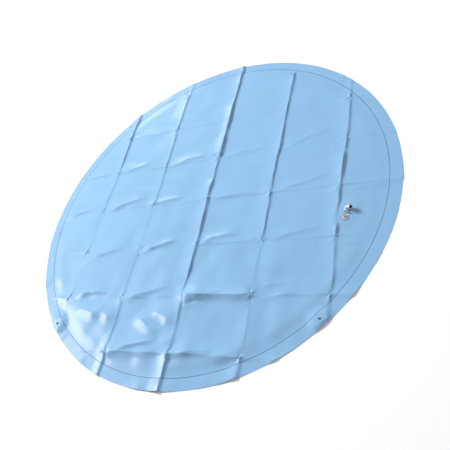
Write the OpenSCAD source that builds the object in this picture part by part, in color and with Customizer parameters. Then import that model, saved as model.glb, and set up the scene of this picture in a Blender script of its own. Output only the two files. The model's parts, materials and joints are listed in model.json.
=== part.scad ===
// Round inflatable air bladder that lies inside a spa cover, let down and laid flat.
// Two discs of soft film are welded together inside their rim, and the air goes in
// through a soft moulded valve with a leaning neck, a check flap and a tethered cap.
// Millimetres, +Z up. The origin is on the ground under the middle of the disc.

/* [Film] */
// Diameter of the two film discs, over the rim
disc_d = 1600; // [1200:10:2200]
// Thickness of one film
film_t = 0.4; // [0.3:0.05:0.8]
// Width of the flat rim outside the weld
rim_w = 42; // [30:1:60]
// Width of the weld that joins the two films
weld_w = 4; // [3:0.5:8]
// How far the weld presses into the upper film
weld_depth = 0.25; // [0.1:0.05:0.25]
// Height of the air that stays between the films
air_gap = 6; // [5:0.5:12]
// Distance in which the upper film comes down to the weld
slope_w = 54; // [30:1:90]

/* [Eyelets] */
// Diameter of the holes in the rim
eyelet_hole_d = 10; // [6:0.5:12]
// Diameter of the ring of film welded round each hole
eyelet_ring_d = 24; // [18:1:30]
// Thickness of that ring
eyelet_ring_t = 0.5; // [0.3:0.1:1]
// Radius of the circle that the four holes are on
eyelet_circle_r = 778; // [580:1:780]

/* [Valve place] */
// Distance of the valve from the middle of the disc
valve_r = 628; // [400:1:660]
// Direction of the valve, counted from +X
valve_angle = -57.4; // [-180:0.1:180]

/* [Valve flange] */
// Radius of the flange welded under the upper film
flange_r = 19; // [17:0.5:24]
// Thickness of the flange
flange_t = 1.0; // [0.8:0.1:1.5]
// Radius of the collar that comes up through the film
collar_r = 11.8; // [11:0.1:13]
// Radius of the air hole in the middle of the flange
air_hole_r = 4; // [3:0.1:4.2]

/* [Valve neck] */
// Radius of the round root on which the neck leans over
root_r = 7; // [6.5:0.1:7.2]
// Height of the middle of that root over the film
root_h = 7.6; // [7.5:0.1:8]
// Length of the neck from the middle of the root to the mouth
neck_l = 18; // [17:0.5:22]
// Radius of the narrow waist over the root
waist_r = 5.6; // [5.2:0.1:5.7]
// Radius of the neck's body
neck_r = 8.5; // [8:0.1:9]
// Radius of the thick lip round the mouth
lip_r = 10; // [9:0.1:11]
// Height of the lip
lip_h = 3.4; // [2:0.1:5]
// Radius of the mouth's bore, where the pump nozzle goes
mouth_r = 6; // [5.5:0.1:6.5]
// Depth of the mouth's bore
mouth_depth = 9.5; // [8:0.5:10]
// How far the neck leans over from upright
neck_lean = 68; // [40:1:70]

/* [Check flap] */
// Radius of the flap under the air hole
flap_r = 6; // [5.5:0.1:7]
// Thickness of the flap
flap_t = 0.6; // [0.4:0.1:1]

/* [Cap and strap] */
// Radius of the cap's disc
cap_r = 16; // [14:0.5:17]
// Thickness of the cap's disc
cap_t = 1.6; // [1.2:0.1:2.5]
// Length of the plug that goes into the mouth
plug_l = 5; // [4:0.5:6]
// Play between plug and mouth, on the radius
plug_play = 0.06; // [0.02:0.01:0.1]
// Radius of the plug's tip
plug_tip_r = 4.3; // [3:0.1:4.5]
// Distance from the valve's middle to the open cap's middle
cap_away = 35.5; // [34:0.5:38]
// Width of the strap
strap_w = 12; // [6:0.5:13]
// How far the strap's middle stands outwards of the valve's middle
strap_shift = 2; // [0:0.5:2]
// Thickness of the strap
strap_t = 1.4; // [1:0.1:1.6]
// Thickness of the strap at its two bends
bend_t = 0.6; // [0.4:0.1:0.8]
// Turn of the strap from open to closed
strap_swing = 155; // [150:1:160]

/* [Hidden] */
$fn = 96;
cut = 0.5;              // overrun of a cutter past the face that it cuts
gap = 0.3;              // room between soft pieces that move against each other

disc_r = disc_d / 2;
weld_out_r = disc_r - rim_w;
weld_in_r = weld_out_r - weld_w;
slope_steps = 8;
film_under = film_t + air_gap;          // underside of the upper film over the air
film_top = film_under + film_t;         // where the valve stands

collar_h = 1.0;
cup_rim_r = 8.2;
cup_rim_h = 3.4;
flange_hole_r = collar_r + 0.2;
flap_tab_w = 5;
flap_tab_l = 3;
flap_under = 0.1;                       // room between flap and flange

plug_r = mouth_r - plug_play;
plug_land = 0.6;                        // straight part of the plug next to the disc

// The strap's two bends, as [distance from the valve's axis, height over the film].
cap_edge = cap_r + 0.9;
bend_closed = [cap_edge, root_h + neck_l + cap_t / 2];
bend_open = [cap_away - cap_edge, gap + cap_t / 2];
chord = bend_open - bend_closed;
half_chord = norm(chord) / 2;
// The crest lies beside the middle of the line between the bend's two places.
crest = (bend_closed + bend_open) / 2
      + [chord[1], -chord[0]] / norm(chord) * half_chord / tan(strap_swing / 2);
root_foot = [collar_r + 1.6, 0.8];
foot_lap = 4;                           // how far the foot reaches in before it is cut round
bend_l = 3.0;                           // taper of the strap next to a bend
bead_r = 0.5;                           // round bead on the line of a bend

film_blue = [0.50, 0.70, 0.90];
ring_blue = [0.58, 0.76, 0.94];
clear_vinyl = [0.82, 0.90, 0.97];

// Moves a piece of the valve to its place: +X then points outwards, Z is 0 on the film.
module at_valve() {
    rotate([0, 0, valve_angle]) translate([valve_r, 0, film_top]) children();
}

module eyelet_holes(z_low, z_high) {
    for (i = [0:3])
        rotate([0, 0, 90 * i])
            translate([eyelet_circle_r, 0, z_low - cut])
                cylinder(r = eyelet_hole_d / 2, h = z_high - z_low + 2 * cut);
}

// Lower film: a plain flat disc that lies on the ground.
module bottom_sheet() {
    color(film_blue) difference() {
        cylinder(r = disc_r, h = film_t, $fn = 360);
        eyelet_holes(0, film_t);
    }
}

// Upper film: flat on the rim, pressed in at the weld, then raised by the air left inside.
module top_sheet() {
    slope = [for (i = [0:slope_steps])
        let (s = i / slope_steps)
        [weld_in_r - slope_w * s, air_gap * (1 - cos(180 * s)) / 2]];
    upper = [for (p = slope) [p[0], p[1] + 2 * film_t]];
    lower = [for (i = [slope_steps:-1:0]) [slope[i][0], slope[i][1] + film_t]];
    color(film_blue) difference() {
        rotate_extrude($fn = 360) polygon(concat(
            [[disc_r, film_t], [disc_r, 2 * film_t], [weld_out_r, 2 * film_t],
             [weld_out_r, 2 * film_t - weld_depth], [weld_in_r, 2 * film_t - weld_depth]],
            upper,
            [[0, film_top], [0, film_under]],
            lower));
        eyelet_holes(film_t, 2 * film_t);
        at_valve() translate([0, 0, -film_t - cut])
            cylinder(r = flange_hole_r, h = film_t + 2 * cut);
    }
}

// Ring of film welded on the rim round one eyelet hole.
module eyelet_ring(angle) {
    color(ring_blue) rotate([0, 0, angle])
        translate([eyelet_circle_r, 0, 2 * film_t]) difference() {
            cylinder(r = eyelet_ring_d / 2, h = eyelet_ring_t);
            translate([0, 0, -cut])
                cylinder(r = eyelet_hole_d / 2, h = eyelet_ring_t + 2 * cut);
        }
}

// Flange under the film, with the collar and the shallow cup in which the neck leans.
module valve_flange() {
    color(clear_vinyl) at_valve() difference() {
        rotate_extrude() polygon([
            [0, -film_t - flange_t], [flange_r, -film_t - flange_t], [flange_r, -film_t],
            [collar_r, -film_t], [collar_r, collar_h],
            [cup_rim_r, cup_rim_h], [0, cup_rim_h]]);
        translate([0, 0, root_h]) sphere(r = root_r + gap);
        translate([0, 0, -film_t - flange_t - cut])
            cylinder(r = air_hole_r, h = flange_t + cup_rim_h + 2 * cut);
    }
}

// Soft flap that closes the air hole from inside; it hangs from a tab at one side.
module check_flap() {
    color(clear_vinyl) at_valve()
        translate([0, 0, -film_t - flange_t - flap_under - flap_t]) union() {
            cylinder(r = flap_r, h = flap_t);
            translate([-flap_r - flap_tab_l, -flap_tab_w / 2, 0])
                cube([flap_r + flap_tab_l, flap_tab_w, flap_t]);
        }
}

// Neck of the valve: round root, waist, body and lip, leaning outwards.
module valve_neck() {
    shoulder_h = neck_l - mouth_depth;
    color(clear_vinyl) at_valve()
        translate([0, 0, root_h]) rotate([0, neck_lean, 0]) difference() {
            union() {
                sphere(r = root_r);
                rotate_extrude() polygon([
                    [0, 0], [waist_r, 0], [waist_r, root_r - 1], [neck_r, shoulder_h],
                    [neck_r, neck_l - lip_h - 1], [lip_r, neck_l - lip_h],
                    [lip_r, neck_l - 0.6], [lip_r - 0.6, neck_l], [0, neck_l]]);
            }
            translate([0, 0, shoulder_h]) cylinder(r = mouth_r, h = mouth_depth + cut);
            translate([0, 0, -root_r - cut]) cylinder(r = air_hole_r, h = 2 * root_r + neck_l);
        }
}

// Flat bar of the strap between two points of the upright plane that the cap swings in.
// Its ends are strap_t or bend_t thick, and it tapers over bend_l to a thin one.
module strap_bar(from, to, from_t, to_t) {
    run = to - from;
    len = norm(run);
    mid_from = from_t < strap_t ? bend_l : 0;
    mid_to = to_t < strap_t ? len - bend_l : len;
    lower = [[0, -from_t], [mid_from, -strap_t], [mid_to, -strap_t], [len, -to_t]] / 2;
    side = [for (p = lower) [2 * p[0], p[1]]];
    other_side = [for (i = [3:-1:0]) [side[i][0], -side[i][1]]];
    rotate([90, 0, -90]) translate([0, 0, -strap_w / 2 - strap_shift]) linear_extrude(strap_w)
        translate(from) rotate(atan2(run[1], run[0])) polygon(concat(side, other_side));
}

// Fixed half of the strap: a foot against the flange's collar and a bar up to the crest.
module strap_root() {
    rise = crest - root_foot;
    root_end = root_foot + rise * (1 - bend_l / norm(rise));
    foot_out = root_foot[0] + strap_t / 2;
    color(clear_vinyl) at_valve() union() {
        difference() {
            translate([strap_shift - strap_w / 2, -foot_out, root_foot[1] - strap_t / 2])
                cube([strap_w, foot_out - collar_r + foot_lap, strap_t]);
            translate([0, 0, -cut]) cylinder(r = collar_r, h = root_h);
        }
        strap_bar(root_foot, root_end, strap_t, bend_t);
    }
}

// Moving half of the strap, from the crest to the edge of the cap, with a round bead on
// each line that it bends about.
module strap_link() {
    color(clear_vinyl) at_valve() union() {
        strap_bar(crest, bend_open, bend_t, bend_t);
        for (bend = [crest, bend_open])
            translate([strap_shift - strap_w / 2, -bend[0], bend[1]]) rotate([0, 90, 0])
                cylinder(r = bead_r, h = strap_w);
    }
}

// Cap: a round disc with a tapered plug, lying open with its plug upwards.
module valve_cap() {
    color(clear_vinyl) at_valve() translate([0, -cap_away, gap]) union() {
        cylinder(r = cap_r, h = cap_t);
        translate([0, 0, cap_t]) rotate_extrude() polygon([
            [0, -cut], [plug_r, -cut], [plug_r, plug_land], [plug_tip_r, plug_l], [0, plug_l]]);
    }
}

bottom_sheet();
top_sheet();
eyelet_ring(-90);  // eyelet_ring_front
eyelet_ring(0);  // eyelet_ring_right
eyelet_ring(90);  // eyelet_ring_back
eyelet_ring(180);  // eyelet_ring_left
valve_flange();
check_flap();
valve_neck();
strap_root();
strap_link();
valve_cap();
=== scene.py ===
import json
import math

import bpy
import numpy as np
from mathutils import Matrix, Vector, geometry


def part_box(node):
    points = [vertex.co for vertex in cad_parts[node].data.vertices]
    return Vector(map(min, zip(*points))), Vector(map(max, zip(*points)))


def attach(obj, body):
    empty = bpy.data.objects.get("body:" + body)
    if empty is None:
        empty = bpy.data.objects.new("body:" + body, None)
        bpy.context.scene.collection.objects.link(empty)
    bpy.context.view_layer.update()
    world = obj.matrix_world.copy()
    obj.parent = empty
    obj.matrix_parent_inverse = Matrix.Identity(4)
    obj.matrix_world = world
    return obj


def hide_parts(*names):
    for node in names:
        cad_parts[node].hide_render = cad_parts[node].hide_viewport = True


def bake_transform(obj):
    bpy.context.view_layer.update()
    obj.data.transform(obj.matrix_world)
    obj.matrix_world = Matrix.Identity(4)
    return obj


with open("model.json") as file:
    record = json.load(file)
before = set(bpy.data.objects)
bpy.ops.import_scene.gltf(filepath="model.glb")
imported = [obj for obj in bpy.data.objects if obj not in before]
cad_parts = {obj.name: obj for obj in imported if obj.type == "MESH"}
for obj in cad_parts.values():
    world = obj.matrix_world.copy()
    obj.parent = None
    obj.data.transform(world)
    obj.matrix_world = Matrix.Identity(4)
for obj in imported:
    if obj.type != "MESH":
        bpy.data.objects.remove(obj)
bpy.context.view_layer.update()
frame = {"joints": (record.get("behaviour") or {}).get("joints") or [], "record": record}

bpy.ops.object.select_all(action="DESELECT")


# ---- Upper film -------------------------------------------------------------------------
# A disc of soft light-blue vinyl, 0.4 mm thick, welded to the lower film in one thin ring
# inside its rim. It was packed folded, and the creases of the fold still stand up.

disc_r = (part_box("top_sheet")[1].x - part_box("top_sheet")[0].x) / 2
film_t = 0.0004
rim_w = 0.042
weld_w = 0.004
weld_r = disc_r - rim_w - weld_w / 2
flat_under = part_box("top_sheet")[1].z - film_t

joints = {j["name"]: j for j in frame["joints"]}
valve_at = Vector(joints["neck_lean"]["pos_m"])
outwards = Vector((valve_at.x, valve_at.y, 0)).normalized()
sideways = Vector((outwards.y, -outwards.x, 0))
film_hole_r = 0.012
# The cap lies open this far from the valve.
cap_away = 0.0355

eyelet_nodes = ["eyelet_ring_front", "eyelet_ring_right", "eyelet_ring_back", "eyelet_ring_left"]
eyelet_hole_r = 0.005
eyelets_at = [(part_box(n)[0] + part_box(n)[1]) / 2 for n in eyelet_nodes]
# How far the wavy rim lifts off the ground at each eyelet, and circles of points round each.
eyelet_lifts = [0.0085, 0.0010, 0.0010, 0.0085]
flat_round_eyelet = 0.0125
eyelet_circles = [0.009, 0.0125, 0.0145, 0.0170, 0.020]
eyelet_circle_points = 48

# The fold pattern has its own directions s and t. Five long creases run along t, evenly spaced
# from left to right, and seven short ones run along s, evenly spaced from back to front.
fold_turn = math.radians(-46.4)
long_gap = 0.278
short_gap = 0.222
long_creases = 0.030 + long_gap * np.arange(-2, 3)
short_creases = -0.005 - short_gap * np.arange(-3, 4)
# Height in mm of each long crease, panel by panel from the back to the front.
long_heights = [
    [7, 8, 7, 4, 0.9, 0.8, 1.5, 6],
    [3, 5.5, 5, 3, 1.2, 1.6, 4, 9],
    [9, 11, 11, 9, 9, 9, 7, 9],
    [1, 7, 7, 7, 6, 2, 2, 7],
    [1.5, 3, 6, 9, 7, 5, 5, 7],
]
# Height in mm of each short crease, panel by panel from left to right.
short_heights = [
    [0.5, 1, 1, 0.5, 0.5, 0.5],
    [1.5, 2, 1.5, 0.7, 0.5, 1],
    [2.5, 2.5, 1.5, 0.7, 0.7, 1.5],
    [1, 1, 1.5, 3, 1.5, 3],
    [1, 0.7, 1, 2, 1, 1],
    [2, 2, 2.5, 17, 2, 4],
    [1, 2, 13, 8, 5, 3],
]


def ease(x):
    x = np.clip(x, 0, 1)
    return x * x * (3 - 2 * x)


def soft_noise(x, y, cell, seed):
    """Smooth hills and hollows between -1 and 1, about one cell across."""
    lattice = np.random.default_rng(seed).uniform(-1, 1, (256, 256))
    gx, gy = x / cell + 101.3, y / cell + 87.7
    ix, iy = np.floor(gx).astype(int), np.floor(gy).astype(int)
    fx, fy = ease(gx - ix), ease(gy - iy)
    ix, iy = ix % 255, iy % 255
    low = lattice[ix, iy] * (1 - fx) + lattice[ix + 1, iy] * fx
    high = lattice[ix, iy + 1] * (1 - fx) + lattice[ix + 1, iy + 1] * fx
    return low * (1 - fy) + high * fy


def wander(s, t, seed):
    """How far the film has crept sideways from the even fold pattern."""
    creep = 0.005 * soft_noise(s, t, 0.22, seed) + 0.0022 * soft_noise(s, t, 0.07, seed + 1)
    return creep + 0.0013 * soft_noise(s, t, 0.03, seed + 2)


def on_floor(s, t):
    """Place on the floor of a point of the even fold pattern."""
    a, b = s + wander(s, t, 3), t + wander(s, t, 6)
    x = a * math.cos(fold_turn) - b * math.sin(fold_turn)
    return x, a * math.sin(fold_turn) + b * math.cos(fold_turn)


def in_pattern(x, y):
    """The inverse of on_floor, found by a few steps."""
    a = x * math.cos(fold_turn) + y * math.sin(fold_turn)
    b = -x * math.sin(fold_turn) + y * math.cos(fold_turn)
    s, t = a.copy(), b.copy()
    for _ in range(12):
        ex, ey = on_floor(s, t)
        s = s + a - (ex * math.cos(fold_turn) + ey * math.sin(fold_turn))
        t = t + b - (-ex * math.sin(fold_turn) + ey * math.cos(fold_turn))
    return s, t


def ridge(away, height, steep, gentle):
    """A crease that falls away in a steep flat slope on its positive side, gently on the other."""
    side = 0.5 + 0.5 * np.tanh(away / 0.0012)
    d = np.sqrt(away**2 + 0.0010**2) - 0.0010
    left_over = 0.82 * (1 - d / (1.5 * steep))
    slope = 0.5 * (left_over + np.sqrt(left_over**2 + 0.10**2)) + 0.18 * np.exp(-d / (2 * steep))
    return height * (side * slope + (1 - side) * np.exp(-d / gentle))


def panel_value(values, edges, place):
    """Value along a crease, one per panel, with a soft change at each crossing."""
    edges = np.sort(edges)
    total = np.full(place.shape, float(values[0]))
    for k, edge in enumerate(edges):
        total += (values[k + 1] - values[k]) * ease((place - edge) / 0.06 + 0.5)
    return total


# Slack folds run beside the short creases, each from a crossing towards the next one on the right,
# and drift towards the back. A smaller stroke lies near each crossing, and two broad dents in each
# of the slackest panels. They are drawn at random, highest at the left and in front, where the
# film is slackest. Ends are in panels from the first long and the first short crease. Then, in mm:
# how far the middle bows backwards, the height, and the widths of the front and back sides.
slack_folds = []
fold_draw = np.random.default_rng(5)
for long_one in range(-1, 5):
    for short_one in range(2, 7):
        slackness = 0.4 + 0.6 * float(ease((4.5 - long_one) / 5) * ease((short_one - 0.5) / 5))
        share = fold_draw.uniform(0, 1, 12)
        from_a, from_b = long_one + 0.1 * share[0], short_one - 0.05 + 0.2 * share[1]
        to_a, to_b = long_one + 0.6 + 0.35 * share[2], from_b - 0.05 - 0.25 * share[3]
        main = (from_a, from_b, to_a, to_b, 2 + 7 * share[4], slackness * (2.5 + 3 * share[5]), 8, 22)
        from_a, from_b = long_one - 0.3 + 0.4 * share[6], short_one - 0.2 + 0.5 * share[7]
        to_a, to_b = from_a + 0.2 + 0.25 * share[8], from_b - 0.2 + 0.3 * share[9]
        stroke = (from_a, from_b, to_a, to_b, 4 * share[10], slackness * (1.4 + 1.6 * share[11]), 8, 14)
        for fold in (main, stroke):
            middle_s = long_creases[0] + long_gap * (fold[0] + fold[2]) / 2
            middle_t = short_creases[0] - short_gap * (fold[1] + fold[3]) / 2
            if math.hypot(middle_s, middle_t) < weld_r - 0.03:
                slack_folds.append(fold)
for long_one in (0, 1):
    for across in (0.2, 0.5):
        share = fold_draw.uniform(0, 1, 4)
        from_a, from_b = long_one + across + 0.1 * share[0], 5.2 + 0.15 * share[1]
        dent = (from_a, from_b, from_a + 0.5, from_b + 0.15 + 0.3 * share[2], 9, 4.5 + 2 * share[3], 17, 28)
        slack_folds.append(dent)


def fold_line(fold):
    """A slack fold's start, its direction and its length in the pattern's directions."""
    start_s, start_t = long_creases[0] + long_gap * fold[0], short_creases[0] - short_gap * fold[1]
    end_s, end_t = long_creases[0] + long_gap * fold[2], short_creases[0] - short_gap * fold[3]
    length = math.hypot(end_s - start_s, end_t - start_t)
    return start_s, start_t, (end_s - start_s) / length, (end_t - start_t) / length, length


def fold_height(s, t, fold):
    """Height of one slack fold, which fades out at both ends."""
    start_s, start_t, way_s, way_t, length = fold_line(fold)
    bow, height, steep, gentle = [v / 1000 for v in fold[4:]]
    along = ((s - start_s) * way_s + (t - start_t) * way_t) / length
    across = (s - start_s) * way_t - (t - start_t) * way_s
    across = across + 4 * bow * np.clip(along * (1 - along), -0.5, 1) + 0.0025 * soft_noise(s, t, 0.04, 15)
    fade = ease(along / 0.35) * ease((1 - along) / 0.35)
    return 2.0 * fade * ridge(across, height, 1.25 * steep, gentle)


def crease_height(s, t):
    """Height of the whole fold pattern over the floor, in metres."""
    total = np.zeros(s.shape)
    for place, heights in zip(long_creases, long_heights):
        along = panel_value(heights[::-1], short_creases, t) / 1000
        along = along * (1 + 0.35 * soft_noise(s, t, 0.05, 11))
        steep = 0.0055 * (1 + 0.3 * soft_noise(s, t, 0.08, 13))
        total += ridge(s - place, along, steep, 0.030) ** 1.6
    for place, heights in zip(short_creases, short_heights):
        along = panel_value(heights, long_creases, s) / 1000
        along = along * (1 + 0.45 * soft_noise(s, t, 0.05, 12))
        steep = (0.0035 + 0.9 * along) * (1 + 0.3 * soft_noise(s, t, 0.08, 14))
        total += ridge(place - t, along, steep, 0.035) ** 1.6
    total = total ** (1 / 1.6)
    rng = np.random.default_rng(21)
    for ps in long_creases:
        for pt in short_creases:
            away, turn = np.hypot(s - ps, t - pt), np.arctan2(t - pt, s - ps)
            arms, lead, size = rng.integers(3, 6), rng.uniform(0, 6.28), rng.uniform(0.4, 1)
            star = np.cos(arms * turn + lead) * np.exp(-away / 0.018) * ease(away / 0.008)
            total += 0.0045 * size * star + 0.0010 * size * np.exp(-away / 0.008)
    for fold in slack_folds:
        total += fold_height(s, t, fold)
    return total


def lower_height(x, y, s, t):
    """Height of the underside of the lower film, which lies on the floor between creases."""
    r = np.hypot(x, y)
    slack_side = ease((-(x + 0.3 * y) - 0.1) / 0.5)
    rim_wave = ease((r - 0.70) / 0.09) * (0.0010 + 0.0018 * slack_side)
    lift = 0.85 * crease_height(s, t) - 0.0004
    lift += rim_wave * (soft_noise(x, y, 0.075, 31) + 0.6 * soft_noise(x, y, 0.04, 32))
    lift = np.maximum(lift * calm(x, y), 0)
    for e, raised_by in zip(eyelets_at, eyelet_lifts):
        dome = 1 - ease((np.hypot(x - e.x, y - e.y) - flat_round_eyelet) / 0.045)
        droop = 1 - 0.65 * ease((r - math.hypot(e.x, e.y) - flat_round_eyelet) / 0.0095)
        lift += raised_by * dome * droop
    return lift


def calm(x, y):
    """0 where the film has to lie flat, under the valve, its cap and the eyelets, else 1."""
    along = np.clip(((x - valve_at.x) * sideways.x + (y - valve_at.y) * sideways.y) / cap_away, 0, 1)
    px = valve_at.x + sideways.x * cap_away * along
    py = valve_at.y + sideways.y * cap_away * along
    still = ease((np.hypot(x - px, y - py) - 0.021) / 0.03)
    for e in eyelets_at:
        still = still * ease((np.hypot(x - e.x, y - e.y) - 0.013) / 0.022)
    return still


def air_height(x, y, s, t):
    """Room between the two films: none on the rim, a few slack millimetres inside."""
    r = np.hypot(x, y)
    inside = ease((weld_r - 0.002 - r) / 0.05)
    slack_side = ease((-(x + 0.55 * y) + 0.05) / 0.45)
    swell = 0.0024 + 0.0014 * soft_noise(s, t, 0.16, 41) + 0.0008 * soft_noise(s, t, 0.07, 42)
    swell += 0.0006 * soft_noise(0.22 * s, t + 0.1 * s, 0.034, 44) * (1 + 0.8 * soft_noise(s, t, 0.3, 45))
    swell += slack_side * (0.0022 + 0.0030 * soft_noise(s, 0.55 * t, 0.055, 43))
    swell = np.maximum(swell, 0.0002)
    still = calm(x, y)
    return inside * (swell * still + (flat_under - film_t) * (1 - still))


def spaced(lines, low, high, beside, fill):
    """Coordinates with close ones beside each crease and evenly filled ones between."""
    found = [low, high]
    for line in lines:
        found += [line + side * d for d in beside for side in (-1, 1)] + [line]
    found = np.unique(np.round([f for f in found if low <= f <= high], 6))
    out = [found[0]]
    for a, b in zip(found[:-1], found[1:]):
        steps = max(1, int(round((b - a) / fill)))
        out += list(a + (b - a) * np.arange(1, steps + 1) / steps)
    return np.array(out)


def ring(radius, count):
    a = np.arange(count) / count * 2 * math.pi
    return np.stack([np.cos(a), np.sin(a)], 1) * radius


def beside_fold(fold, beside):
    """Points on the floor in close rows along one slack fold."""
    start_s, start_t, way_s, way_t, length = fold_line(fold)
    along = np.linspace(-0.05, 1.05, max(4, int(length / 0.007)))
    rows = []
    for off in [0] + [side * d for d in beside for side in (-1, 1)]:
        across = off - 4 * fold[4] / 1000 * along * (1 - along)
        row_s = start_s + along * length * way_s + across * way_t
        row_t = start_t + along * length * way_t - across * way_s
        rows.append(np.stack(on_floor(row_s, row_t), 1))
    return np.concatenate(rows)


def film_plan(beside, fill, rim_count, with_valve_hole):
    """The film cut flat: points on the floor plan and triangles between them."""
    grid_s = spaced(long_creases, -disc_r, disc_r, beside, fill)
    grid_t = spaced(short_creases, -disc_r, disc_r, beside, fill)
    gs, gt = np.meshgrid(grid_s, grid_t, indexing="ij")
    gx, gy = on_floor(gs.ravel(), gt.ravel())
    inner = np.stack([gx, gy], 1)
    inner = inner[np.hypot(gx, gy) < weld_r - weld_w / 2 - 0.003]
    rim_radii = [disc_r, disc_r - 0.0015, disc_r - 0.006, disc_r - 0.013, disc_r - 0.021,
                 disc_r - 0.029, disc_r - 0.036, weld_r + weld_w / 2, weld_r + 0.0014,
                 weld_r + 0.0008, weld_r - 0.0008, weld_r - 0.0014, weld_r - weld_w / 2]
    rings = [ring(r, rim_count) for r in rim_radii]
    holes = [(e.x, e.y, eyelet_hole_r, 32) for e in eyelets_at]
    if with_valve_hole:
        holes.append((valve_at.x, valve_at.y, film_hole_r, 64))
    close_rows = np.concatenate([beside_fold(fold, beside[:4]) for fold in slack_folds])
    close_rows = close_rows[np.hypot(close_rows[:, 0], close_rows[:, 1]) < weld_r - weld_w]
    kept = np.concatenate([inner, close_rows] + rings[1:])
    for e in eyelets_at:
        kept = kept[np.hypot(kept[:, 0] - e.x, kept[:, 1] - e.y) > eyelet_circles[-1] + 0.0005]
        kept = np.concatenate([kept] + [ring(r, eyelet_circle_points) + [e.x, e.y] for r in eyelet_circles])
    for hx, hy, hr, _ in holes:
        kept = kept[np.hypot(kept[:, 0] - hx, kept[:, 1] - hy) > hr * 1.25]
    points = [rings[0]]
    start = len(rings[0])
    loops = [[(k, (k + 1) % start) for k in range(start)]]
    for hx, hy, hr, count in holes:
        points.append(ring(hr, count) + [hx, hy])
        loops.append([(start + k, start + (k + 1) % count) for k in range(count)])
        start += count
    points.append(kept)
    points = np.concatenate(points)
    edges = [e for loop in loops for e in loop]
    made = geometry.delaunay_2d_cdt([Vector(p) for p in points], edges, [], 1, 1e-7)
    flat = np.array([v[:] for v in made[0]])
    faces = np.array(made[2])
    middle = flat[faces].mean(1)
    keep = np.ones(len(faces), bool)
    for hx, hy, hr, _ in holes:
        keep &= np.hypot(middle[:, 0] - hx, middle[:, 1] - hy) > hr * 0.99
    return flat, faces[keep]


def film_object(name, flat, heights, faces, marks):
    """Makes a film from its plan and heights, and gives it its thickness upwards."""
    mesh = bpy.data.meshes.new(name)
    mesh.from_pydata(np.column_stack([flat, heights]).tolist(), [], faces.tolist())
    for mark, values in marks.items():
        attribute = mesh.attributes.new(mark, "FLOAT", "POINT")
        attribute.data.foreach_set("value", values.astype(np.float32))
    film = bpy.data.objects.new(name, mesh)
    bpy.context.scene.collection.objects.link(film)
    bpy.context.view_layer.objects.active = film
    film.select_set(True)
    bpy.ops.object.mode_set(mode="EDIT")
    bpy.ops.mesh.select_all(action="SELECT")
    bpy.ops.mesh.normals_make_consistent(inside=False)
    bpy.ops.object.mode_set(mode="OBJECT")
    if mesh.polygons[0].normal.z < 0:
        mesh.flip_normals()
    solid = film.modifiers.new("thickness", "SOLIDIFY")
    solid.thickness = film_t
    solid.offset = 1.0
    bpy.ops.object.modifier_apply(modifier=solid.name)
    bpy.ops.object.shade_smooth_by_angle(angle=math.radians(50))
    film.select_set(False)
    return film


def vinyl(name, color, dark):
    """Soft glossy vinyl film with faint clouding, fine surface grain, and painted shade: a deeper blue
    along the creases.
    """
    material = bpy.data.materials.new(name)
    material.use_nodes = True
    nodes, links = material.node_tree.nodes, material.node_tree.links
    shader = nodes["Principled BSDF"]
    shader.inputs["IOR"].default_value = 1.52
    shader.inputs["Coat Weight"].default_value = 0.25
    shader.inputs["Coat Roughness"].default_value = 0.12
    place = nodes.new("ShaderNodeTexCoord")
    clouds = nodes.new("ShaderNodeTexNoise")
    clouds.inputs["Scale"].default_value = 4.0
    clouds.inputs["Detail"].default_value = 3.0
    links.new(place.outputs["Object"], clouds.inputs["Vector"])
    tint = nodes.new("ShaderNodeMix")
    tint.data_type = "RGBA"
    tint.inputs["A"].default_value = (*dark, 1)
    tint.inputs["B"].default_value = (*color, 1)
    links.new(clouds.outputs["Fac"], tint.inputs["Factor"])
    # Painted shade: near each crease a deeper, more saturated blue is mixed in, standing in for the shade
    # on the creases' shaded sides.
    crease = nodes.new("ShaderNodeAttribute")
    crease.attribute_name = "crease"
    crease_shade = nodes.new("ShaderNodeMix")
    crease_shade.data_type = "RGBA"
    crease_shade.inputs["B"].default_value = (0.200, 0.440, 0.760, 1)
    links.new(crease.outputs["Fac"], crease_shade.inputs["Factor"])
    links.new(tint.outputs["Result"], crease_shade.inputs["A"])
    weld = nodes.new("ShaderNodeAttribute")
    weld.attribute_name = "weld"
    welded = nodes.new("ShaderNodeMix")
    welded.data_type = "RGBA"
    welded.inputs["B"].default_value = (0.06, 0.14, 0.24, 1)
    links.new(weld.outputs["Fac"], welded.inputs["Factor"])
    links.new(crease_shade.outputs["Result"], welded.inputs["A"])
    links.new(welded.outputs["Result"], shader.inputs["Base Color"])
    rough = nodes.new("ShaderNodeMapRange")
    rough.inputs["To Min"].default_value = 0.24
    rough.inputs["To Max"].default_value = 0.36
    links.new(clouds.outputs["Fac"], rough.inputs["Value"])
    links.new(rough.outputs["Result"], shader.inputs["Roughness"])
    grain = nodes.new("ShaderNodeTexNoise")
    grain.inputs["Scale"].default_value = 38.0
    grain.inputs["Detail"].default_value = 4.0
    links.new(place.outputs["Object"], grain.inputs["Vector"])
    bump = nodes.new("ShaderNodeBump")
    bump.inputs["Strength"].default_value = 0.5
    bump.inputs["Distance"].default_value = 0.0006
    links.new(grain.outputs["Fac"], bump.inputs["Height"])
    links.new(bump.outputs["Normal"], shader.inputs["Normal"])
    return material


film_vinyl = vinyl("film_vinyl", (0.262, 0.470, 0.715), (0.245, 0.450, 0.690))

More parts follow.
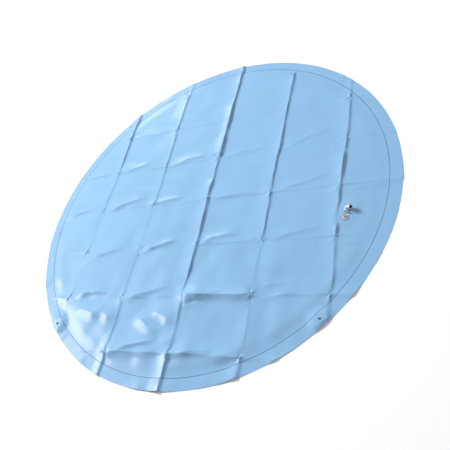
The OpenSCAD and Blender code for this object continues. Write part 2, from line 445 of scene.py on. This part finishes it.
plan, triangles = film_plan([0.0012, 0.003, 0.006, 0.010, 0.016, 0.025, 0.038], 0.0105, 960, True)
fold_s, fold_t = in_pattern(plan[:, 0], plan[:, 1])
under = lower_height(plan[:, 0], plan[:, 1], fold_s, fold_t) + film_t
under += air_height(plan[:, 0], plan[:, 1], fold_s, fold_t)
to_weld = np.abs(np.hypot(plan[:, 0], plan[:, 1]) - weld_r)
under -= 0.0003 * (to_weld < 0.001)
to_crease = np.minimum(
    np.abs(fold_s[:, None] - long_creases).min(1), np.abs(fold_t[:, None] - short_creases).min(1)
)
marks = {
    "weld": np.where(to_weld < 0.0010, 1.0, 0.0),
    # crease: how much painted shade, a deeper blue, lies within a few mm of each crease line.
    "crease": 0.15 * np.exp(-to_crease / 0.005),
}
upper_film = film_object("upper_film", plan, under, triangles, marks)
upper_film.data.materials.append(film_vinyl)
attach(upper_film, "bladder")
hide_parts("top_sheet")


# ---- Lower film -------------------------------------------------------------------------
# The second disc of the same vinyl, which lies on the ground and was folded together with
# the upper one, so it lifts under the same creases.

plan, triangles = film_plan([0.0012, 0.003, 0.006, 0.012, 0.022, 0.036], 0.013, 960, False)
fold_s, fold_t = in_pattern(plan[:, 0], plan[:, 1])
under = lower_height(plan[:, 0], plan[:, 1], fold_s, fold_t)
lower_film = film_object("lower_film", plan, under, triangles, {})
lower_film.data.materials.append(film_vinyl)
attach(lower_film, "bladder")
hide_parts("bottom_sheet")


# ---- Eyelet rings -----------------------------------------------------------------------
# Four rings of the same vinyl, welded on the rim round the punched holes so that they don't
# tear. Each is 0.5 mm thick with a soft edge.

for node, at, raised_by in zip(eyelet_nodes, eyelets_at, eyelet_lifts):
    low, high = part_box(node)
    bottom = low.z + raised_by
    ring_r = (high.x - low.x) / 2
    bpy.ops.mesh.primitive_circle_add(vertices=64, radius=ring_r, location=(at.x, at.y, bottom))
    ring_piece = bpy.context.object
    ring_piece.name = node.replace("eyelet_ring", "welded_ring")
    bpy.ops.object.transform_apply(location=True)
    bpy.ops.object.mode_set(mode="EDIT")
    bpy.ops.mesh.select_all(action="SELECT")
    share = eyelet_hole_r / ring_r
    bpy.ops.mesh.extrude_region_move()
    bpy.ops.transform.resize(value=(share, share, 1), center_override=(at.x, at.y, bottom))
    bpy.ops.mesh.select_all(action="SELECT")
    bpy.ops.mesh.extrude_region_move(TRANSFORM_OT_translate={"value": (0, 0, high.z - low.z)})
    bpy.ops.mesh.select_all(action="SELECT")
    bpy.ops.mesh.normals_make_consistent(inside=False)
    bpy.ops.object.mode_set(mode="OBJECT")
    edge = ring_piece.modifiers.new("soft_edge", "BEVEL")
    edge.width = 0.00018
    edge.segments = 2
    bpy.ops.object.modifier_apply(modifier=edge.name)
    bpy.ops.object.shade_smooth_by_angle(angle=math.radians(35))
    ring_piece.data.materials.append(film_vinyl)
    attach(ring_piece, "bladder")
    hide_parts(node)
    ring_piece.select_set(False)


# ---- Valve flange -----------------------------------------------------------------------
# A moulded disc of clear vinyl welded under the upper film. Its collar comes up through the
# film and ends in a shallow cup, in which the round root of the neck leans over.

up_z = Vector((0, 0, 1))
film_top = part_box("top_sheet")[1].z
stand = Vector((valve_at.x, valve_at.y, film_top))


def clear_vinyl(name, color, through, rough):
    """Clear soft vinyl with faint clouding and the fine ripple of a moulded surface."""
    material = bpy.data.materials.new(name)
    material.use_nodes = True
    nodes, links = material.node_tree.nodes, material.node_tree.links
    shader = nodes["Principled BSDF"]
    shader.inputs["IOR"].default_value = 1.5
    shader.inputs["Transmission Weight"].default_value = through
    place = nodes.new("ShaderNodeTexCoord")
    clouds = nodes.new("ShaderNodeTexNoise")
    clouds.inputs["Scale"].default_value = 180.0
    clouds.inputs["Detail"].default_value = 3.0
    links.new(place.outputs["Object"], clouds.inputs["Vector"])
    tint = nodes.new("ShaderNodeMix")
    tint.data_type = "RGBA"
    tint.inputs["A"].default_value = (color[0] * 0.90, color[1] * 0.93, color[2] * 0.96, 1)
    tint.inputs["B"].default_value = (*color, 1)
    links.new(clouds.outputs["Fac"], tint.inputs["Factor"])
    links.new(tint.outputs["Result"], shader.inputs["Base Color"])
    matt = nodes.new("ShaderNodeMapRange")
    matt.inputs["To Min"].default_value = rough * 0.7
    matt.inputs["To Max"].default_value = rough * 1.3
    links.new(clouds.outputs["Fac"], matt.inputs["Value"])
    links.new(matt.outputs["Result"], shader.inputs["Roughness"])
    ripple = nodes.new("ShaderNodeBump")
    ripple.inputs["Strength"].default_value = 0.35
    ripple.inputs["Distance"].default_value = 0.0002
    links.new(clouds.outputs["Fac"], ripple.inputs["Height"])
    links.new(ripple.outputs["Normal"], shader.inputs["Normal"])
    return material


def turned(name, outline, around, lean=None, count=64):
    """A round piece pulled up ring by ring along an outline of (radius, height) points.

    An outline that starts and ends on the axis is closed by points; any other is a ring
    that goes back to its own start."""
    on_axis = outline[0][0] == 0
    rings = outline[1:-1] if on_axis else outline
    bpy.ops.mesh.primitive_circle_add(vertices=count, radius=rings[0][0], location=(0, 0, rings[0][1]))
    piece = bpy.context.object
    piece.name = name
    bpy.ops.object.transform_apply(location=True)
    bpy.ops.object.mode_set(mode="EDIT")
    bpy.ops.mesh.select_all(action="SELECT")
    if on_axis:
        bpy.ops.mesh.edge_face_add()
        bpy.ops.mesh.poke()
        bpy.ops.mesh.select_all(action="DESELECT")
        bpy.ops.mesh.select_non_manifold()
    for (r1, z1), (r2, z2) in zip(rings[:-1], rings[1:]):
        bpy.ops.mesh.extrude_edges_move(TRANSFORM_OT_translate={"value": (0, 0, z2 - z1)})
        bpy.ops.transform.resize(value=(r2 / r1, r2 / r1, 1), center_override=(0, 0, z2))
    if on_axis:
        bpy.ops.mesh.edge_face_add()
        bpy.ops.mesh.poke()
    else:
        bpy.ops.mesh.select_all(action="DESELECT")
        bpy.ops.mesh.select_non_manifold()
        bpy.ops.mesh.bridge_edge_loops()
    bpy.ops.mesh.select_all(action="SELECT")
    bpy.ops.mesh.normals_make_consistent(inside=False)
    bpy.ops.object.mode_set(mode="OBJECT")
    piece.rotation_euler = (lean or Matrix.Identity(3)).to_euler()
    piece.location = around
    bpy.ops.object.transform_apply(location=True, rotation=True)
    return piece


def finish_soft(piece, width, angle):
    """Rounds the edges of a moulded piece and shades it smooth."""
    edge = piece.modifiers.new("soft_edge", "BEVEL")
    edge.width = width
    edge.segments = 3
    edge.limit_method = "ANGLE"
    edge.angle_limit = math.radians(angle)
    bpy.ops.object.modifier_apply(modifier=edge.name)
    bpy.ops.object.shade_smooth_by_angle(angle=math.radians(45))
    piece.select_set(False)


valve_vinyl = clear_vinyl("valve_vinyl", (0.88, 0.94, 0.99), 0.40, 0.16)

root_mid = joints["neck_lean"]["pos_m"][2] - film_top
cup_r = 0.0073
air_hole_r = 0.004
cup_wall = [(cup_r * math.sin(math.radians(a)), root_mid - cup_r * math.cos(math.radians(a)))
            for a in (55, 48, 41, 34)]
flange = turned("flange", [
    (air_hole_r, -0.0014), (0.0186, -0.0014), (0.0190, -0.0012), (0.0190, -0.0005), (0.0118, -0.0004),
    (0.0118, 0.0010), (0.0100, 0.0022), (0.0082, 0.0034)]
    + cup_wall + [(air_hole_r, root_mid - 0.0062)], stand)
finish_soft(flange, 0.0002, 30)
flange.data.materials.append(valve_vinyl)
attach(flange, "bladder")
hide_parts("valve_flange")


# ---- Valve neck -------------------------------------------------------------------------
# A short leaning tube of the same clear vinyl with a thick lip, in which the pump's nozzle
# goes. The real passage runs on through the round root. Here it ends just above it, and its
# inner wall is painted near black as painted shade of the deep passage, so that no daylight shows through
# the leaning tube.

mouth = next(m for m in frame["record"]["mounts"] if m["name"] == "valve_mouth")
neck_way = Vector(mouth["axis"]).normalized()
neck_side = outwards.cross(up_z).normalized()
neck_lean = Matrix((neck_side.cross(neck_way), neck_side, neck_way)).transposed()
mouth_r = mouth["dims"]["r_mm"] / 1000
mouth_depth = mouth["dims"]["length_mm"] / 1000
neck_l = (Vector(mouth["pos_m"]) - valve_at).length + mouth_depth / 2
root_r = 0.007
ball = [(root_r * math.sin(math.radians(a)), -root_r * math.cos(math.radians(a)))
        for a in (12, 24, 36, 50, 65, 80, 95, 110, 123)]
neck = turned("neck", [(0, -root_r)] + ball + [
    (0.0056, 0.0050), (0.0060, 0.0060), (0.0085, 0.0085), (0.0085, 0.0132), (0.0092, 0.0140),
    (0.0100, 0.0147), (0.0100, neck_l - 0.0006), (0.0094, neck_l), (0.0067, neck_l),
    (mouth_r, neck_l - 0.0007), (mouth_r, neck_l - mouth_depth), (air_hole_r, neck_l - mouth_depth),
    (air_hole_r, 0.0020), (0, 0.0020)], valve_at, neck_lean)
finish_soft(neck, 0.00025, 32)
neck.data.materials.append(valve_vinyl)
# Painted shade: a near-black material that stands in for the shade deep inside the bore.
painted_bore_shade = clear_vinyl("painted_bore_shade", (0.012, 0.020, 0.045), 0.0, 0.4)
neck.data.materials.append(painted_bore_shade)
# The inward-facing faces of the bore get the painted shade.
for face in neck.data.polygons:
    from_root = face.center - valve_at
    along = from_root.dot(neck_way)
    off_axis = (from_root - neck_way * along).length
    if off_axis < mouth_r + 0.0001 and 0.001 < along < neck_l - 0.0005:
        face.material_index = int((from_root - neck_way * along).dot(face.normal) < 1e-5)
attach(neck, "neck")
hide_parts("valve_neck")


# ---- Check flap -------------------------------------------------------------------------
# A thin tongue of soft film under the air hole. It lets air in and closes the hole again.

flap_low, flap_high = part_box("check_flap")
flap_r = 0.006
flap = turned("flap", [(0, flap_low.z), (flap_r, flap_low.z), (flap_r, flap_high.z), (0, flap_high.z)],
              (valve_at.x, valve_at.y, 0), count=48)
bpy.ops.object.mode_set(mode="EDIT")
bpy.ops.mesh.select_all(action="DESELECT")
bpy.ops.object.mode_set(mode="OBJECT")
for face in flap.data.polygons:
    way_out = face.center - Vector((valve_at.x, valve_at.y, face.center.z))
    level = abs(face.normal.z) < 0.3
    face.select = level and way_out.normalized().dot(outwards) < -0.90
bpy.ops.object.mode_set(mode="EDIT")
bpy.ops.mesh.select_mode(type="FACE")
bpy.ops.mesh.extrude_region_move(TRANSFORM_OT_translate={"value": tuple(-outwards * 0.003)})
bpy.ops.mesh.select_mode(type="VERT")
bpy.ops.object.mode_set(mode="OBJECT")
finish_soft(flap, 0.0001, 40)
flap_film = clear_vinyl("flap_film", (0.70, 0.80, 0.90), 0.3, 0.3)
flap.data.materials.append(flap_film)
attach(flap, "flap")
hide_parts("check_flap")


# ---- Cap strap --------------------------------------------------------------------------
# A narrow band moulded in one with the flange and the cap. It stands up in a tight bend next
# to the collar. On the real valve it swings over at that bend when the cap is put in; here it is one fixed
# piece in the open pose.

crest = Vector(joints["strap_swing"]["pos_m"])
cap_bend = Vector(joints["cap_turn"]["pos_m"])
crest_away = (crest - stand).dot(sideways)
crest_up = crest.z - film_top
bend_away = (cap_bend - stand).dot(sideways)
bend_up = cap_bend.z - film_top
foot_away = 0.0134
strap_w = 0.012
strap_mid = 0.002
strap_t = 0.0011
strap_path = [
    (foot_away - 0.0040, 0.0016), (foot_away - 0.0018, 0.0011), (foot_away, 0.0012),
    (foot_away + 0.0003, 0.0030), (foot_away + 0.0006, 0.0065),
    (crest_away - 0.0008, crest_up - 0.0030), (crest_away - 0.0004, crest_up - 0.0012),
    (crest_away, crest_up - 0.0004), (crest_away + 0.0005, crest_up - 0.0013),
    (crest_away + 0.0011, crest_up - 0.0034), (bend_away - 0.0013, bend_up + 0.0042),
    (bend_away - 0.0006, bend_up + 0.0016), (bend_away + 0.0002, bend_up + 0.0003),
    (bend_away + 0.0022, bend_up),
]
start = stand + sideways * strap_path[0][0] + up_z * strap_path[0][1]
bpy.ops.mesh.primitive_plane_add(size=strap_w, location=(0, 0, 0))
strap = bpy.context.object
strap.name = "strap"
bpy.ops.object.mode_set(mode="EDIT")
bpy.ops.mesh.select_all(action="SELECT")
bpy.ops.mesh.merge(type="CENTER")
bpy.ops.transform.translate(value=tuple(start + outwards * (strap_mid - strap_w / 2)))
strap_strips = 6
for _ in range(strap_strips):
    step = outwards * strap_w / strap_strips
    bpy.ops.mesh.extrude_vertices_move(TRANSFORM_OT_translate={"value": tuple(step)})
bpy.ops.mesh.select_all(action="SELECT")
for (a1, z1), (a2, z2) in zip(strap_path[:-1], strap_path[1:]):
    step = sideways * (a2 - a1) + up_z * (z2 - z1)
    bpy.ops.mesh.extrude_edges_move(TRANSFORM_OT_translate={"value": tuple(step)})
bpy.ops.mesh.select_all(action="SELECT")
bpy.ops.mesh.normals_make_consistent(inside=False)
bpy.ops.object.mode_set(mode="OBJECT")
thick = strap.modifiers.new("thickness", "SOLIDIFY")
thick.thickness = strap_t
thick.offset = 0
bpy.ops.object.modifier_apply(modifier=thick.name)
smooth = strap.modifiers.new("smooth", "SUBSURF")
smooth.levels = 2
smooth.render_levels = 2
bpy.ops.object.modifier_apply(modifier=smooth.name)
bpy.ops.object.shade_smooth()
strap.data.materials.append(valve_vinyl)
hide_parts("strap_root", "strap_link")
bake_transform(strap)
strap.select_set(False)


# ---- Cap --------------------------------------------------------------------------------
# A round clear disc with a raised edge and a hollow tapered plug that presses into the mouth.
# It lies open beside the neck with its plug upwards.

cap_low, cap_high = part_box("valve_cap")
cap_mid = (cap_low + cap_high) / 2
disc_top = cap_low.z + 0.0016
plug_r = mouth_r - 0.00006
cap_vinyl = clear_vinyl("cap_vinyl", (0.84, 0.92, 0.99), 0.70, 0.13)
cap = turned("cap", [
    (0, cap_low.z), (0.0148, cap_low.z), (0.0158, cap_low.z + 0.0003), (0.0160, cap_low.z + 0.0008),
    (0.0157, disc_top), (0.0146, disc_top), (0.0139, disc_top - 0.0005), (0.0078, disc_top - 0.0005),
    (plug_r + 0.0004, disc_top), (plug_r, disc_top + 0.0006), (0.0048, cap_high.z - 0.0010),
    (0.0043, cap_high.z), (0.0033, cap_high.z), (0.0030, disc_top + 0.0002), (0, disc_top)],
    (cap_mid.x, cap_mid.y, 0), count=72)
finish_soft(cap, 0.00015, 35)
cap.data.materials.append(cap_vinyl)
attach(cap, "cap")
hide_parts("valve_cap")


# ---- Room -------------------------------------------------------------------------------
# A plain white floor, a white surround, soft studio lights and the camera.

bpy.ops.mesh.primitive_plane_add(size=40, location=(0, 0, -0.0002))
floor = bpy.context.object
floor.name = "floor"
floor_white = bpy.data.materials.new("floor_white")
floor_white.use_nodes = True
floor_shader = floor_white.node_tree.nodes["Principled BSDF"]
floor_shader.inputs["Base Color"].default_value = (0.98, 0.98, 0.98, 1)
floor_shader.inputs["Roughness"].default_value = 0.9
floor_shader.inputs["Emission Color"].default_value = (1, 1, 1, 1)
# Far from the bladder, where the lamps don't reach, the floor glows a little and so stays white.
floor_place = floor_white.node_tree.nodes.new("ShaderNodeTexCoord")
floor_away = floor_white.node_tree.nodes.new("ShaderNodeVectorMath")
floor_away.operation = "LENGTH"
floor_glow = floor_white.node_tree.nodes.new("ShaderNodeMapRange")
floor_glow.inputs["From Min"].default_value = 1.5
floor_glow.inputs["From Max"].default_value = 6.0
floor_glow.inputs["To Max"].default_value = 0.72
floor_white.node_tree.links.new(floor_place.outputs["Object"], floor_away.inputs[0])
floor_white.node_tree.links.new(floor_away.outputs["Value"], floor_glow.inputs["Value"])
floor_white.node_tree.links.new(floor_glow.outputs["Result"], floor_shader.inputs["Emission Strength"])
floor.data.materials.append(floor_white)

world = bpy.data.worlds.new("surround")
world.use_nodes = True
surround = world.node_tree.nodes["Background"]
surround.inputs["Color"].default_value = (1, 1, 1, 1)
seen_by = world.node_tree.nodes.new("ShaderNodeLightPath")
strength = world.node_tree.nodes.new("ShaderNodeMapRange")
strength.inputs["To Min"].default_value = 0.25
strength.inputs["To Max"].default_value = 0.95
world.node_tree.links.new(seen_by.outputs["Is Camera Ray"], strength.inputs["Value"])
world.node_tree.links.new(strength.outputs["Result"], surround.inputs["Strength"])
bpy.context.scene.world = world
bpy.context.scene.view_settings.view_transform = "Standard"

view_turn = math.radians(-4.4)
view_axes = Matrix.Rotation(view_turn, 3, "Z")
raised = math.radians(46.12)
rolled = math.radians(37.96)
right = view_axes @ Vector((1, 0, 0))
up = view_axes @ Vector((0, math.sin(raised), math.cos(raised)))
back = view_axes @ Vector((0, -math.cos(raised), math.sin(raised)))
target = view_axes @ (Vector((0.0084, -0.2425, 0)) * disc_r)

camera_away = 2.565 * disc_r
camera_data = bpy.data.cameras.new("camera")
camera_data.lens = 42.08
camera_data.sensor_width = 36
camera = bpy.data.objects.new("camera", camera_data)
bpy.context.scene.collection.objects.link(camera)
axes = Matrix((right * math.cos(rolled) - up * math.sin(rolled),
               right * math.sin(rolled) + up * math.cos(rolled), back)).transposed()
camera.matrix_world = Matrix.Translation(target + back * camera_away) @ axes.to_4x4()
bpy.context.scene.camera = camera


def soft_light(name, place, aim, size, power):
    """A square soft box that points from place to aim."""
    data = bpy.data.lights.new(name, "AREA")
    data.size = size
    data.energy = power
    lamp = bpy.data.objects.new(name, data)
    bpy.context.scene.collection.objects.link(lamp)
    lamp.matrix_world = (Matrix.Translation(place)
                         @ (Vector(place) - Vector(aim)).to_track_quat("Z", "Y").to_matrix().to_4x4())
    return lamp


# Places are in the camera's own directions: right, away from the camera, up.
key_light = soft_light("key_light", view_axes @ Vector((-1.8, 4.6, 3.5)), (0, 0, 0), 1.8, 560)
key_light.visible_glossy = False
sheen_light = soft_light("sheen_light", view_axes @ Vector((-3.1, 2.4, 2.3)), (0, 0, 0), 2.0, 78)
sheen_light.visible_diffuse = False
sheen_light.data.color = (1.0, 0.90, 0.89)
edge_light = soft_light("edge_light", view_axes @ Vector((0.2, 4.6, 1.7)), (0, 0, 0), 1.0, 9)
edge_light.visible_diffuse = False
fill_light = soft_light("fill_light", view_axes @ Vector((1.0, -1.5, 3.6)), (0, 0, 0), 3.0, 36)
fill_light.visible_glossy = False
